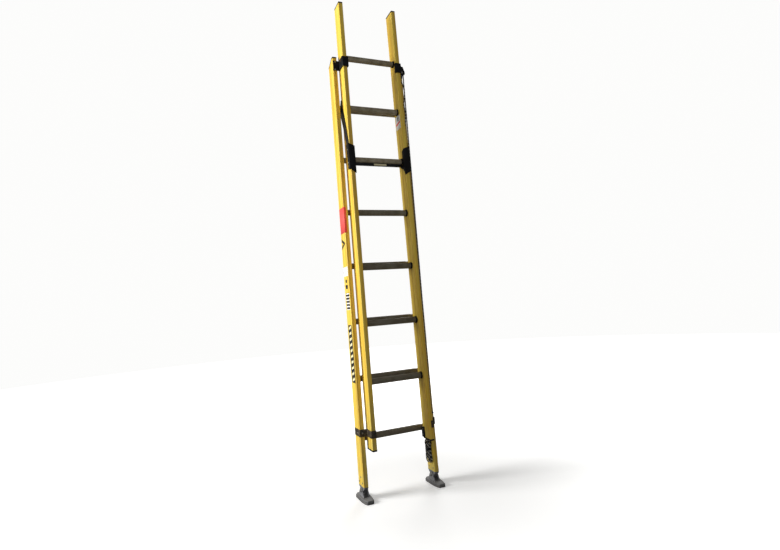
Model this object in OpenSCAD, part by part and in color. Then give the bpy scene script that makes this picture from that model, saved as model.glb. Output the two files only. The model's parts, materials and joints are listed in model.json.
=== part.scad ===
// Two-section fibreglass extension ladder, standing closed on its feet.
// X runs across the ladder, -Y is the climbing side and Z runs along the stiles.
// The origin is at the middle of the footprint, on the floor.

/* [Sections] */
// Distance between two rungs
rung_pitch = 300; // [280:1:310]
// Height of the lowest rung of the base above the floor
first_rung_z = 300; // [290:1:310]
// Height of the top end of the base stiles
base_top_z = 2392; // [2380:1:2600]
// Height of the bottom end of the base stiles
base_foot_z = 66; // [64:1:80]
// Length of the fly stiles
fly_length = 2445; // [2440:1:2900]
// Height of the bottom end of the closed fly
fly_foot_z = 255; // [245:1:262]
// How far the fly rungs sit below the base rungs when closed
fly_drop = 15; // [5:1:20]

/* [Stiles] */
// Outer width of the base section
base_outer_w = 436; // [420:1:440]
// Clear width between the fly stiles
fly_inner_w = 305; // [280:1:310]
// Width of a stile seen from the front
stile_w = 25; // [22:0.5:28]
// Depth of a stile from front to back
stile_d = 75; // [70:1:90]
// Wall of the hollow stile
stile_wall = 3; // [2.5:0.5:4]
// Radius of the stile's long edges
stile_r = 2.5; // [1:0.5:4]
// Clearance between the back of the fly stiles and the base rungs
rung_clear = 4.5; // [4.2:0.1:12]

/* [Rungs] */
// Diameter of a rung tube
rung_d = 32; // [26:1:34]
// Wall of a rung tube
rung_wall = 2; // [1.5:0.5:3]
// Height of a tread rib
rib_h = 0.8; // [0.5:0.1:1.2]
// Width of a tread rib
rib_w = 1.4; // [1:0.1:2]
// Diameter of the moulded rung collars
collar_d = 39; // [36:1:44]
// Thickness of a rung collar
collar_t = 3.5; // [2:0.5:5]

/* [Guides] */
// Running gap between the fly stiles and what guides them
guide_gap = 1; // [0.5:0.1:2]
// Wall of the moulded top guides
guide_wall = 5; // [3:0.5:6]
// Height of the top guides
guide_h = 57; // [40:1:70]
// Distance from the base stile top down to the top guide
guide_below_top = 19; // [15:1:30]
// Height of the bottom guide straps
strap_h = 36; // [25:1:45]
// Thickness of the bottom guide straps
strap_t = 3; // [2:0.5:4]
// Height of the lower edge of the bottom guides
strap_z = 314; // [312:1:320]

/* [Lock yoke] */
// Number of the base rung that the yoke swings on
yoke_rung = 7; // [7:1:7]
// Thickness of the yoke arms
arm_t = 4; // [3:0.5:4.5]
// Gap between a fly stile and a yoke arm
arm_gap = 0.8; // [0.5:0.1:1.5]
// Wall of the corner sleeves
sleeve_wall = 3; // [2.5:0.5:3.5]
// How far the sleeves reach back on the inner faces
sleeve_reach_in = 17; // [12:1:17]
// How far the sleeves reach back on the outer faces
sleeve_reach_out = 34; // [20:1:36]
// Height of the sleeves above the locked rung
sleeve_up = 83; // [70:1:90]
// Depth of the sleeves below the locked rung
sleeve_down = 62; // [50:1:66]
// Extra depth of the sleeve tip at the inner corner
sleeve_tip = 24; // [15:1:30]
// Depth of the cross-bar from front to back
bar_d = 20; // [16:1:24]
// Height of the cross-bar
bar_h = 12; // [10:1:14]

/* [Rope and pulley] */
// Diameter of the rope
rope_d = 7; // [6:0.5:8]
// Radius from the pulley axis to the middle of the rope
pulley_r = 12; // [12:0.5:13]
// Thickness of the pulley
pulley_t = 12; // [11:0.5:13]
// Diameter of the pulley axle
axle_d = 8; // [6:0.5:9]

/* [Feet] */
// Height of the foot pivot above the floor
pivot_z = 44; // [43:1:46]
// Diameter of the foot pivot bolt
bolt_d = 10; // [8:0.5:11]
// Reach of a pad in front of the pivot
pad_front = 85; // [70:1:95]
// Reach of a pad behind the pivot
pad_back = 60; // [50:1:70]
// Width of a pad
pad_w = 60; // [50:1:64]
// Thickness of the rubber pad
pad_t = 12; // [8:1:14]
// Thickness of the shoe plate
shoe_t = 5; // [4:0.5:6]

/* [Hidden] */
$fn = 48;
rung_count = 7;
rung_r = rung_d / 2;
setback = stile_d / 2 + rung_r + rung_clear;   // base stiles behind the front of the fly
fit = 0.1;                 // loose gap round pieces fixed in a hole
running = 0.06;            // radial clearance of a running fit
stand_off = 0.3;           // gap between the rope and what moves past it
cap_t = 8;
cap_plug = 18;
plug_flange_t = 4;
top_flat = 18;
top_drop = 30;
collar_r = collar_d / 2;

// depth: the front of the top guides and the back of the pads are equally far from Y = 0
front_reach = guide_gap + guide_wall;
depth_total = front_reach + setback + stile_d / 2 + pad_back;
fly_y = front_reach - depth_total / 2;
base_y = fly_y + setback;
fly_mid_y = fly_y + stile_d / 2;
base_mid_y = base_y + stile_d / 2;

// width
fly_in_x = fly_inner_w / 2;
fly_out_x = fly_in_x + stile_w;
base_out_x = base_outer_w / 2;
base_in_x = base_out_x - stile_w;
base_mid_x = base_out_x - stile_w / 2;
fly_mid_x = fly_in_x + stile_w / 2;

// heights
fly_top_z = fly_foot_z + fly_length;
guide_top_z = base_top_z - guide_below_top;
guide_z = guide_top_z - guide_h;
locked_rung_z = first_rung_z + (yoke_rung - 2) * rung_pitch - fly_drop;
yoke_pivot_z = first_rung_z + (yoke_rung - 1) * rung_pitch;

// lock yoke
arm_in_x = fly_out_x + arm_gap;
arm_out_x = arm_in_x + arm_t;
arm_ring_r = rung_r + 7;
sleeve_in_x = fly_in_x - guide_gap;
bar_gap = 2;
bar_top_z = locked_rung_z - rung_r - bar_gap;
bar_y = fly_mid_y - bar_d / 2;
bar_plate_z = locked_rung_z - collar_r - 1.5;

// rope and pulley
rope_r = rope_d / 2;
flange_r = pulley_r + rope_r + 1;
rim_gap = 1;
pulley_x = fly_out_x + guide_gap + guide_wall + rim_gap + flange_r;
pulley_z = base_top_z - 57;
rope_y = fly_y + 36;
cheek_t = 4;
cover_t = 2.5;
cheek_gap = 0.5;
axle_fit = 0.02;
anchor_w = 33;
anchor_d = 14;
anchor_h = 30;
anchor_plate = 5;
anchor_lug = 8;
anchor_z = strap_z + strap_h + 2;
anchor_y = base_y - 9;
anchor_rope_x = fly_out_x + anchor_w - 8;
anchor_mid_z = anchor_z + (anchor_h - anchor_lug) / 2;
rope_end_z = anchor_z + anchor_h + 0.3;
gap_rope_x = base_in_x - 2.5;
gap_rope_y = fly_y + 30;

hank_t = 22;
hank_w = 40;
hank_top_z = 236;
hank_foot_z = 112;
hank_x = base_in_x - 2 - hank_t / 2;
hank_y = fly_y + 84;

// the loose side of the rope, from the pulley down the gap between the stiles to the hank
tail_route = [
    [pulley_x - pulley_r, rope_y, pulley_z],
    [pulley_x - pulley_r + 0.5, rope_y - 0.5, pulley_z - 24],
    [pulley_x - 7, rope_y - 4, pulley_z - 50],
    [pulley_x, rope_y - 9, pulley_z - 80],
    [pulley_x + 5, rope_y - 10, pulley_z - 110],
    [pulley_x + 4, rope_y - 10, pulley_z - 140],
    [pulley_x - 1, rope_y - 8, pulley_z - 170],
    [pulley_x - 4, rope_y - 7, pulley_z - 200],
    [pulley_x - 2, rope_y - 7, pulley_z - 230],
    [pulley_x, rope_y - 7, pulley_z - 260],
    [pulley_x - 3, rope_y - 7, pulley_z - 290],
    [pulley_x - 7.5, gap_rope_y, pulley_z - 325],
    [gap_rope_x, gap_rope_y, pulley_z - 370],
    [gap_rope_x, gap_rope_y, 1700],
    [gap_rope_x, gap_rope_y, 1500],
    [gap_rope_x, gap_rope_y, 1300],
    [gap_rope_x, gap_rope_y, 1100],
    [gap_rope_x, gap_rope_y, 900],
    [gap_rope_x, gap_rope_y, 700],
    [gap_rope_x, gap_rope_y, 500],
    [gap_rope_x, gap_rope_y, 340],
    [gap_rope_x, gap_rope_y + 3, 318],
    [gap_rope_x, gap_rope_y + 11, 297],
    [gap_rope_x - 1, gap_rope_y + 20, 277],
    [gap_rope_x - 2, gap_rope_y + 29, 259],
    [gap_rope_x - 3, hank_y - 17, hank_top_z + 9],
    [gap_rope_x - 3, hank_y - 10, hank_top_z - 2.7]
];

// feet
ear_t = 5;
ear_gap = 0.5;
ear_r = 16;
ear_foot = 34;
tongue_t = stile_w - 3;
tongue_r = 14;
ear_out = tongue_t / 2 + ear_gap + ear_t;
plug_len = 60;

// rivets: [side offset across or depth, height] and what they go through
rivet_r = 2.4;
head_r = 4.5;
head_t = 1.6;
foot_rivets = [[-22, base_foot_z + 18], [22, base_foot_z + 18], [0, base_foot_z + 42]];
top_guide_rivets = [guide_z + 6, guide_z + guide_h - 6];
strap_mid_z = strap_z + strap_h / 2;
strap_side_rivets = [base_y + 20, base_y + 55];
shoe_side_t = 6;
shoe_back_t = 3;
shoe_h = 54;
shoe_reach = 23;
shoe_rivet_y = fly_y + stile_d - shoe_reach / 2;
shoe_rivets = [fly_foot_z + 14, fly_foot_z + 42];
sleeve_rivets = [locked_rung_z - 25, locked_rung_z + 50];
sleeve_rivet_y = fly_y + 15;
label_t = 1;

FIBRE = "gold";
BLACK = [0.07, 0.07, 0.08];
RUNG = [0.30, 0.27, 0.22];
STEEL = [0.55, 0.55, 0.56];
GREY = [0.25, 0.25, 0.26];

function base_rung_z(k) = first_rung_z + (k - 1) * rung_pitch;
// height of the stile's sloping top end, from its distance behind the front face
function slope_z(depth) = base_top_z - (depth - top_flat) * top_drop / (stile_d - top_flat);
function fly_rung_z(k) = first_rung_z + k * rung_pitch - fly_drop;

// ---- shared shapes ----

module rounded_2d(w, d, r) {
    square([w - 2 * r, d], center = true);
    square([w, d - 2 * r], center = true);
    for (x = [-1, 1], y = [-1, 1])
        translate([x * (w / 2 - r), y * (d / 2 - r)]) circle(r);
}

// copies a right-hand piece to the side: 1 is right, -1 is left
module on_side(side) {
    if (side > 0) children();
    else mirror([1, 0, 0]) children();
}

module pin_x(r, x0, x1, y, z) {
    translate([x0, y, z]) rotate([0, 90, 0]) cylinder(h = x1 - x0, r = r);
}

module pin_y(r, x, y0, y1, z) {
    translate([x, y0, z]) rotate([-90, 0, 0]) cylinder(h = y1 - y0, r = r);
}

// a rivet along X with a head at each end
module rivet_x(x0, x1, y, z) {
    pin_x(rivet_r, x0, x1, y, z);
    pin_x(head_r, x0 - head_t, x0, y, z);
    pin_x(head_r, x1, x1 + head_t, y, z);
}

// a blind rivet along Y with its head towards the climbing side
module rivet_y(x, y0, y1, z) {
    pin_y(rivet_r, x, y0, y1, z);
    pin_y(head_r, x, y0 - head_t, y0, z);
}

// a blind rivet along X with one head at x0, going to x1
module blind_x(x0, x1, y, z) {
    low = min(x0, x1);
    high = max(x0, x1);
    pin_x(rivet_r, low, high, y, z);
    pin_x(head_r, x0 < x1 ? x0 - head_t : x0, x0 < x1 ? x0 : x0 + head_t, y, z);
}

module hollow_stile(length) {
    linear_extrude(length) difference() {
        rounded_2d(stile_w, stile_d, stile_r);
        rounded_2d(stile_w - 2 * stile_wall, stile_d - 2 * stile_wall, 1);
    }
}

// a tube across the ladder with a ribbed tread between the stiles
module rung(half_len, rib_half, y, z) {
    color(RUNG) translate([0, y, z]) rotate([0, 90, 0]) difference() {
        union() {
            translate([0, 0, -half_len]) cylinder(h = 2 * half_len, r = rung_r);
            translate([0, 0, -rib_half]) linear_extrude(2 * rib_half)
                for (a = [110:20:270])
                    rotate(a) translate([rung_r - 0.5, -rib_w / 2]) square([0.5 + rib_h, rib_w]);
        }
        translate([0, 0, -half_len - 1]) cylinder(h = 2 * half_len + 2, r = rung_r - rung_wall);
    }
}

module collar(inner_x, y, z) {
    difference() {
        pin_x(collar_r, inner_x - collar_t, inner_x, y, z);
        pin_x(rung_r + fit, inner_x - collar_t - 1, inner_x + 1, y, z);
    }
}

module stile_cap(x, y, z, up) {
    translate([x, y, z]) mirror([0, 0, up ? 0 : 1]) {
        linear_extrude(cap_t) rounded_2d(stile_w, stile_d, stile_r);
        translate([0, 0, -cap_plug]) linear_extrude(cap_plug) difference() {
            rounded_2d(stile_w - 2 * stile_wall - 2 * fit, stile_d - 2 * stile_wall - 2 * fit, 1);
            rounded_2d(stile_w - 2 * stile_wall - 5, stile_d - 2 * stile_wall - 5, 1);
        }
    }
}

// ---- base section ----

module base_stile(side) {
    color(FIBRE) on_side(side) difference() {
        translate([base_mid_x, base_mid_y, base_foot_z]) hollow_stile(base_top_z - base_foot_z);
        for (k = [1:rung_count])
            pin_x(rung_r + fit, base_in_x - 1, base_in_x + stile_wall + 1, base_mid_y, base_rung_z(k));
        for (p = foot_rivets)
            pin_x(rivet_r + fit, base_in_x - 1, base_out_x + 1, base_mid_y + p[0], p[1]);
        for (z = top_guide_rivets)
            pin_y(rivet_r + fit, base_mid_x, base_y - 1, base_y + stile_wall + 1, z);
        pin_y(rivet_r + fit, base_mid_x, base_y - 1, base_y + stile_wall + 1, strap_mid_z);
        for (y = strap_side_rivets)
            pin_x(rivet_r + fit, base_out_x - stile_wall - 1, base_out_x + 1, y, strap_mid_z);
        translate([base_in_x - 1, 0, 0]) rotate([90, 0, 90]) linear_extrude(stile_w + 2) polygon([
            [base_y + top_flat, base_top_z], [base_y + stile_d + 10, base_top_z + 10],
            [base_y + stile_d + 10, slope_z(stile_d + 10)]
        ]);
    }
}

module base_rung(k) {
    rung(base_out_x - stile_wall, fly_in_x - 6, base_mid_y, base_rung_z(k));
}

module base_rung_collars() {
    color(BLACK) for (side = [-1, 1], k = [1:rung_count])
        on_side(side) collar(base_in_x, base_mid_y, base_rung_z(k));
}

module base_top_caps() {
    color(BLACK) for (side = [-1, 1]) on_side(side)
        translate([base_in_x, 0, 0]) rotate([90, 0, 90]) linear_extrude(stile_w) polygon([
            [base_y, base_top_z], [base_y, base_top_z + cap_t], [base_y + top_flat, base_top_z + cap_t],
            [base_y + stile_d, slope_z(stile_d) + cap_t], [base_y + stile_d, slope_z(stile_d)],
            [base_y + top_flat, base_top_z]
        ]);
}

// wraps the front of a fly stile: plate on the base stile, web, front and inner lip
module guide_plan(wall, front_w, lip, gap) {
    web_x = fly_out_x + gap;
    front_y = fly_y - gap;
    corner_r = wall + gap;
    translate([web_x, base_y - wall]) square([base_out_x - web_x - 1, wall]);
    translate([web_x, fly_y]) square([wall, setback]);
    difference() {
        translate([fly_out_x, fly_y]) intersection() {
            circle(corner_r);
            translate([0, -corner_r]) square([corner_r, corner_r]);
        }
        translate([fly_in_x, front_y]) square([stile_w + gap, stile_d]);
    }
    translate([fly_out_x - front_w, front_y - wall]) square([front_w, wall]);
    if (lip > 0) translate([fly_in_x - gap - wall, front_y - wall]) square([wall, lip + wall + gap]);
    if (lip > 0) translate([fly_in_x - gap - 1, front_y - wall]) square([gap + 2, wall]);
}

module top_guide(side) {
    color(BLACK) on_side(side) difference() {
        translate([0, 0, guide_z]) linear_extrude(guide_h) guide_plan(guide_wall, stile_w, 10, guide_gap);
        for (z = top_guide_rivets)
            pin_y(rivet_r + fit, base_mid_x, base_y - guide_wall - 1, base_y + 1, z);
    }
}

module bottom_guide(side) {
    color(BLACK) on_side(side) difference() {
        translate([0, 0, strap_z]) linear_extrude(strap_h) {
            guide_plan(strap_t, side > 0 ? stile_w / 2 : stile_w, 0, guide_gap);
            translate([base_out_x - 2, base_y - strap_t]) square([2 + strap_t, strap_t]);
            translate([base_out_x, base_y - 1]) square([strap_t, stile_d - 6]);
        }
        pin_y(rivet_r + fit, base_mid_x, base_y - strap_t - 1, base_y + 1, strap_mid_z);
        for (y = strap_side_rivets)
            pin_x(rivet_r + fit, base_out_x - 1, base_out_x + strap_t + 1, y, strap_mid_z);
    }
}

module base_rivets() {
    color(STEEL) for (side = [-1, 1]) on_side(side) {
        for (p = foot_rivets) rivet_x(base_in_x, base_out_x, base_mid_y + p[0], p[1]);
        for (z = top_guide_rivets)
            rivet_y(base_mid_x, base_y - guide_wall, base_y + stile_wall, z);
        rivet_y(base_mid_x, base_y - strap_t, base_y + stile_wall, strap_mid_z);
        for (y = strap_side_rivets)
            blind_x(base_out_x + strap_t, base_out_x - stile_wall, y, strap_mid_z);
    }
}

// ---- pulley ----

// two cheeks and a rounded cover over the wheel, held on the guide's plate
module pulley_housing() {
    rear_y = rope_y + pulley_t / 2 + cheek_gap;
    front_y = rope_y - pulley_t / 2 - cheek_gap;
    cover_r = flange_r + rim_gap;
    low_x = fly_out_x + guide_gap + guide_wall + 0.2;
    block_w = 18;
    block_low = 8;
    block_high = 17;
    shoulder_w = 26;
    far = 100;
    color(BLACK) difference() {
        union() {
            pin_y(flange_r, pulley_x, rear_y, rear_y + cheek_t, pulley_z);
            // the front cheek reaches up to the top of the guide
            hull() {
                pin_y(cover_r + cover_t, pulley_x, front_y - cheek_t, front_y, pulley_z);
                translate([low_x, front_y - cheek_t, pulley_z])
                    cube([shoulder_w, cheek_t, guide_top_z - pulley_z]);
            }
            difference() {
                pin_y(cover_r + cover_t, pulley_x, front_y - cheek_t, rear_y + cheek_t, pulley_z);
                pin_y(cover_r, pulley_x, front_y, rear_y, pulley_z);
                translate([pulley_x - far / 2, front_y - far, pulley_z - far]) cube([far, 2 * far, far]);
            }
            translate([pulley_x - block_w / 2, rear_y + cheek_t - 1, pulley_z - block_low])
                cube([block_w, base_y - guide_wall - rear_y - cheek_t + 1, block_low + block_high]);
        }
        pin_y(axle_d / 2 + axle_fit, pulley_x, front_y - cheek_t - 1, base_y, pulley_z);
        translate([low_x - far, front_y - far / 2, pulley_z - far]) cube([far, 2 * far, 2 * far]);
    }
}

module pulley_axle() {
    front_y = rope_y - pulley_t / 2 - cheek_gap - cheek_t;
    color(STEEL) {
        pin_y(axle_d / 2, pulley_x, front_y, base_y - guide_wall - 1, pulley_z);
        pin_y(axle_d / 2 + 2, pulley_x, front_y - 1.5, front_y, pulley_z);
    }
}

module pulley_wheel() {
    half = pulley_t / 2;
    color(GREY) translate([pulley_x, rope_y, pulley_z]) rotate([-90, 0, 0])
        rotate_extrude() difference() {
            translate([axle_d / 2 + running, -half]) square([flange_r - axle_d / 2 - running, pulley_t]);
            translate([pulley_r, 0]) circle(rope_r + stand_off);
            translate([pulley_r, -rope_r - stand_off]) square([flange_r, 2 * (rope_r + stand_off)]);
        }
}

// ---- feet ----

module foot_plug(side) {
    inner_w = stile_w - 2 * stile_wall - 2 * fit;
    inner_d = stile_d - 2 * stile_wall - 2 * fit;
    flange_z = base_foot_z - plug_flange_t;
    tongue_half = stile_d / 2 - 3;
    color(GREY) on_side(side) translate([base_mid_x, base_mid_y, 0]) difference() {
        union() {
            translate([0, 0, base_foot_z]) linear_extrude(plug_len) rounded_2d(inner_w, inner_d, 1);
            translate([0, 0, flange_z]) linear_extrude(plug_flange_t)
                rounded_2d(stile_w, stile_d, stile_r);
            translate([-tongue_t / 2, 0, 0]) rotate([90, 0, 90]) linear_extrude(tongue_t) polygon([
                [-tongue_half, flange_z], [-tongue_half, flange_z - 5],
                [-tongue_r, pivot_z], [tongue_r, pivot_z],
                [tongue_half, flange_z - 5], [tongue_half, flange_z]
            ]);
            pin_x(tongue_r, -tongue_t / 2, tongue_t / 2, 0, pivot_z);
        }
        pin_x(bolt_d / 2 + axle_fit, -20, 20, 0, pivot_z);
        for (p = foot_rivets) pin_x(rivet_r + fit, -20, 20, p[0], p[1]);
    }
}

module foot_bolt(side) {
    head = bolt_d / 2 + 3;
    end = ear_out + ear_gap;
    color(STEEL) on_side(side) translate([base_mid_x, base_mid_y, 0]) {
        pin_x(bolt_d / 2, -end, end, 0, pivot_z);
        pin_x(head, end, end + 4, 0, pivot_z);
        pin_x(head, -end - 4, -end, 0, pivot_z);
    }
}

// outline of a foot, blunt at the back and narrower at the toe
module foot_outline(grow) {
    half = pad_w / 2 + grow;
    back = pad_back + grow;
    front = pad_front + grow;
    heel_cut = 10;
    heel_len = 14;
    toe_cut = 14;
    toe_len = 14;
    toe_narrow = 6;
    widest_y = -front / 2 + 2;
    polygon([
        [heel_cut - half, back], [half - heel_cut, back], [half, back - heel_len], [half, widest_y],
        [half - toe_narrow, toe_len - front], [half - toe_cut, -front], [toe_cut - half, -front],
        [toe_narrow - half, toe_len - front], [-half, widest_y], [-half, back - heel_len]
    ]);
}

module foot_shoe(side) {
    ear_in = tongue_t / 2 + ear_gap;
    color(GREY) on_side(side) translate([base_mid_x, base_mid_y, 0]) difference() {
        union() {
            translate([0, 0, pad_t]) linear_extrude(shoe_t) foot_outline(-3);
            // ears flare down to the plate
            for (x = [ear_in, -ear_in - ear_t]) hull() {
                translate([x, -ear_foot, pad_t]) cube([ear_t, 2 * ear_foot, shoe_t + 4]);
                pin_x(ear_r, x, x + ear_t, 0, pivot_z);
            }
        }
        pin_x(bolt_d / 2 + running, -40, 40, 0, pivot_z);
    }
}

module foot_pad(side) {
    groove_pitch = 15;
    color(BLACK) on_side(side) translate([base_mid_x, base_mid_y, 0]) difference() {
        linear_extrude(pad_t) foot_outline(0);
        for (y = [-pad_front + 12:groove_pitch:pad_back - 10])
            translate([-pad_w, y, -1]) cube([2 * pad_w, 4, 4]);
    }
}

// ---- fly section ----

module fly_stile(side) {
    color(FIBRE) on_side(side) difference() {
        translate([fly_mid_x, fly_mid_y, fly_foot_z]) hollow_stile(fly_length);
        for (k = [1:rung_count])
            pin_x(rung_r + fit, fly_in_x - 1, fly_in_x + stile_wall + 1, fly_mid_y, fly_rung_z(k));
        for (z = shoe_rivets)
            pin_x(rivet_r + fit, fly_in_x - 1, fly_in_x + stile_wall + 1, shoe_rivet_y, z);
        if (side > 0)
            pin_x(rivet_r + fit, fly_out_x - stile_wall - 1, fly_out_x + 1, anchor_y, anchor_mid_z);
    }
}

module fly_rung(k) {
    rung(fly_out_x - stile_wall, fly_in_x - 6, fly_mid_y, fly_rung_z(k));
}

module fly_rung_collars() {
    color(BLACK) for (side = [-1, 1], k = [1:rung_count])
        on_side(side) collar(fly_in_x, fly_mid_y, fly_rung_z(k));
}

module fly_top_caps() {
    color(BLACK) for (side = [-1, 1]) on_side(side) stile_cap(fly_mid_x, fly_mid_y, fly_top_z, true);
}

module fly_bottom_caps() {
    color(BLACK) for (side = [-1, 1]) on_side(side) stile_cap(fly_mid_x, fly_mid_y, fly_foot_z, false);
}

// slide shoe round the inner back corner of a fly stile, next to the base rungs
module fly_slide_shoe(side) {
    color(BLACK) on_side(side) difference() {
        translate([fly_in_x - shoe_side_t, fly_y + stile_d - shoe_reach, fly_foot_z])
            linear_extrude(shoe_h) {
                square([shoe_side_t, shoe_reach + shoe_back_t]);
                translate([0, shoe_reach]) square([shoe_side_t + 18, shoe_back_t]);
            }
        for (z = shoe_rivets)
            pin_x(rivet_r + fit, fly_in_x - shoe_side_t - 1, fly_in_x + 1, shoe_rivet_y, z);
    }
}

module fly_rivets() {
    color(STEEL) {
        for (side = [-1, 1], z = shoe_rivets)
            on_side(side) blind_x(fly_in_x - shoe_side_t, fly_in_x + stile_wall, shoe_rivet_y, z);
        blind_x(fly_out_x + anchor_plate, fly_out_x - stile_wall, anchor_y, anchor_mid_z);
    }
}

// bracket that the taut side of the rope pulls on
module rope_anchor() {
    low_y = anchor_y - anchor_d / 2;
    color(BLACK) difference() {
        union() {
            translate([fly_out_x, low_y, anchor_z]) cube([anchor_plate, anchor_d, anchor_h]);
            translate([fly_out_x, low_y, anchor_z + anchor_h - anchor_lug])
                cube([anchor_w, anchor_d, anchor_lug]);
        }
        pin_x(rivet_r + fit, fly_out_x - 1, fly_out_x + anchor_plate + 1, anchor_y, anchor_mid_z);
    }
}

// ---- lock yoke ----

// steel arm in the gap between the sections: ring on the base rung, blade down into the sleeve
module yoke_arm(side) {
    top_z = yoke_pivot_z;
    tip_z = top_z + 42;
    neck_z = top_z - 102;
    bend_z = locked_rung_z + sleeve_up + 15;
    low_z = locked_rung_z - 45;
    blade_y = fly_y + 4;
    color(BLACK) on_side(side) difference() {
        union() {
            pin_x(arm_ring_r, arm_in_x, arm_out_x, base_mid_y, top_z);
            translate([arm_in_x, 0, 0]) rotate([90, 0, 90]) linear_extrude(arm_t) polygon([
                [blade_y, low_z], [blade_y, bend_z], [blade_y + 25, neck_z],
                [blade_y + 50, top_z - 8], [base_mid_y - 33, tip_z], [base_mid_y - 24, tip_z],
                [base_mid_y - 12, top_z + 18], [base_mid_y + 4, top_z - 20], [blade_y + 66, neck_z],
                [blade_y + 33, bend_z], [blade_y + 22, low_z]
            ]);
        }
        pin_x(rung_r + running, arm_in_x - 1, arm_out_x + 1, base_mid_y, top_z);
        for (z = sleeve_rivets) pin_x(rivet_r + fit, arm_in_x - 1, arm_out_x + 1, sleeve_rivet_y, z);
    }
}

// corner sleeve that reaches round the front of a fly stile
module yoke_sleeve(side) {
    top_z = locked_rung_z + sleeve_up;
    low_z = locked_rung_z - sleeve_down;
    in_x = sleeve_in_x - sleeve_wall;
    out_x = arm_out_x + sleeve_wall;
    back_y = fly_y - guide_gap;
    front_y = back_y - sleeve_wall;
    lip_y = fly_y + sleeve_reach_in;
    top_slant = 15;
    lip_slant = 25;
    color(BLACK) on_side(side) difference() {
        union() {
            // outer cheek over the arm
            translate([arm_out_x, 0, 0]) rotate([90, 0, 90]) linear_extrude(sleeve_wall) polygon([
                [front_y, low_z], [front_y, top_z],
                [fly_y + sleeve_reach_out, top_z], [fly_y + sleeve_reach_out - 12, low_z]
            ]);
            // front wall, low at the inner corner and high at the outer one
            translate([0, back_y, 0]) rotate([90, 0, 0]) linear_extrude(sleeve_wall) polygon([
                [in_x, low_z - sleeve_tip], [out_x, low_z], [out_x, top_z], [in_x, top_z - top_slant]
            ]);
            // inner lip, with the end plate that carries the cross-bar
            translate([in_x, 0, 0]) rotate([90, 0, 90]) linear_extrude(sleeve_wall) polygon([
                [front_y, low_z - sleeve_tip], [front_y, top_z - top_slant],
                [lip_y, top_z - lip_slant], [lip_y, bar_plate_z],
                [bar_y + bar_d, bar_plate_z], [bar_y + bar_d, bar_top_z - bar_h - 4],
                [lip_y, low_z + 14]
            ]);
        }
        for (z = sleeve_rivets) pin_x(rivet_r + fit, arm_out_x - 1, out_x + 1, sleeve_rivet_y, z);
    }
}

module yoke_cross_bar() {
    half = sleeve_in_x - sleeve_wall;
    low_z = bar_top_z - bar_h;
    bevel = bar_h / 2;
    // the lower back edge is bevelled, so that a rising rung pushes the yoke forward
    color(BLACK) translate([-half, 0, 0]) rotate([90, 0, 90]) linear_extrude(2 * half) polygon([
        [bar_y, low_z], [bar_y, bar_top_z], [bar_y + bar_d, bar_top_z],
        [bar_y + bar_d, low_z + bevel], [bar_y + bar_d - bevel, low_z]
    ]);
}

module yoke_label() {
    label_w = 76;
    label_h = bar_h - 2;
    label_x = 10;
    color("wheat") translate([label_x - label_w / 2, bar_y - label_t, bar_top_z - bar_h / 2 - label_h / 2])
        cube([label_w, label_t, label_h]);
}

module yoke_rivets() {
    color(STEEL) for (side = [-1, 1], z = sleeve_rivets)
        on_side(side) blind_x(arm_out_x + sleeve_wall, arm_in_x, sleeve_rivet_y, z);
}

// ---- rope ----

function unit(v) = v / norm(v);
function tangent(pts, i) =
    unit(pts[min(i + 1, len(pts) - 1)] - pts[max(i - 1, 0)]);

// plain tube with one ring of sides at each point of the route
module tube(pts, r, sides) {
    n = len(pts);
    rings = [for (i = [0:n - 1])
        let (t = tangent(pts, i), u = unit(cross(t, [0, 1, 0])), v = cross(t, u))
        for (s = [0:sides - 1])
            pts[i] + r * (cos(360 * s / sides) * u + sin(360 * s / sides) * v)];
    walls = [for (i = [0:n - 2], s = [0:sides - 1])
        [i * sides + s, i * sides + (s + 1) % sides,
         (i + 1) * sides + (s + 1) % sides, (i + 1) * sides + s]];
    first = [for (s = [sides - 1:-1:0]) s];
    last = [for (s = [0:sides - 1]) (n - 1) * sides + s];
    polyhedron(rings, concat([first], walls, [last]), convexity = 4);
}

module haul_rope() {
    top = [pulley_x + pulley_r, rope_y, pulley_z];
    low = [anchor_rope_x, anchor_y, rope_end_z];
    run = top - low;
    color("black") translate(low)
        rotate([0, acos(run[2] / norm(run)), atan2(run[1], run[0])])
            cylinder(h = norm(run), r = rope_r);
}

module rope_over_pulley() {
    color("black") translate([pulley_x, rope_y, pulley_z]) rotate([90, 0, 0])
        rotate_extrude(angle = 180) translate([pulley_r, 0]) circle(rope_r);
}

module rope_tail() {
    color("black") tube(tail_route, rope_r, 8);
}

module rope_hank() {
    run = hank_top_z - hank_foot_z - hank_w;
    color("black") translate([hank_x - hank_t / 2, hank_y, hank_foot_z + hank_w / 2])
        rotate([90, 0, 90]) linear_extrude(hank_t) {
            circle(hank_w / 2);
            translate([0, run]) circle(hank_w / 2);
            translate([-hank_w / 2, 0]) square([hank_w, run]);
        }
}

base_stile(-1);  // base_stile_left
base_stile(1);  // base_stile_right
base_rung(1);  // base_rung_1
base_rung(2);  // base_rung_2
base_rung(3);  // base_rung_3
base_rung(4);  // base_rung_4
base_rung(5);  // base_rung_5
base_rung(6);  // base_rung_6
base_rung(7);  // base_rung_7
base_rung_collars();
base_top_caps();
base_rivets();
top_guide(-1);  // top_guide_left
top_guide(1);  // top_guide_right
bottom_guide(-1);  // bottom_guide_left
bottom_guide(1);  // bottom_guide_right
pulley_housing();
pulley_axle();
pulley_wheel();
foot_plug(-1);  // foot_plug_left
foot_plug(1);  // foot_plug_right
foot_bolt(-1);  // foot_bolt_left
foot_bolt(1);  // foot_bolt_right
foot_shoe(-1);  // foot_shoe_left
foot_shoe(1);  // foot_shoe_right
foot_pad(-1);  // foot_pad_left
foot_pad(1);  // foot_pad_right
fly_stile(-1);  // fly_stile_left
fly_stile(1);  // fly_stile_right
fly_rung(1);  // fly_rung_1
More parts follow.
